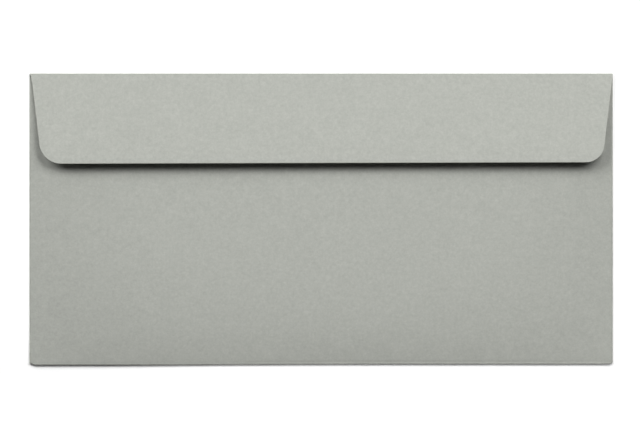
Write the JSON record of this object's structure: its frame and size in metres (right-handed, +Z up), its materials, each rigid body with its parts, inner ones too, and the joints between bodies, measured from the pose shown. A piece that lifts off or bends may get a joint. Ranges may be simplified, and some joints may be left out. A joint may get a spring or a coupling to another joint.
{
  "type": "self-seal envelope",
  "caption": "Long grey wallet envelope lying flap side up, with a round-cornered seal flap folded over on its crease and a peel-off liner on the flap's adhesive.",
  "frame": {"origin": "middle of the face that the envelope lies on, which is the outer face of the front panel", "axes": "+X along the envelope's width, +Y from the bottom fold towards the seal flap's crease, +Z up through the layers, out of the flap side"},
  "size_m": [0.22, 0.11, 0.0032],
  "materials": {
    "paper": "uncoated, matt, fine mottled grain",
    "seam_glue": "dried film",
    "adhesive": "clear tacky film",
    "liner": "silicone coated, slight gloss"
  },
  "bodies": {
    "envelope": {"front_panel": "paper", "back_panel": "paper", "bottom_fold": "paper", "left_side_flap": "paper", "left_fold": "paper", "left_seam_glue": "seam_glue", "right_side_flap": "paper", "right_fold": "paper", "right_seam_glue": "seam_glue", "flap_crease": "paper"},
    "flap": {"seal_flap": "paper", "adhesive_strip": "adhesive"},
    "liner": {"release_liner": "liner"}
  },
  "joints": [
    {"name": "flap_hinge", "type": "hinge", "parent": "envelope", "child": "flap", "pos_m": [0, 0.05455, 0.00045], "axis": [-1, 0, 0], "range_deg": [-4, 176], "stiffness_Nm_per_rad": 0.001, "springref_deg": 11.46, "deforming": ["flap_crease"]},
    {"name": "liner_peel", "type": "slide", "parent": "flap", "child": "liner", "axis": [1, 0, 0], "range_m": [0, 0.21]}
  ]
}
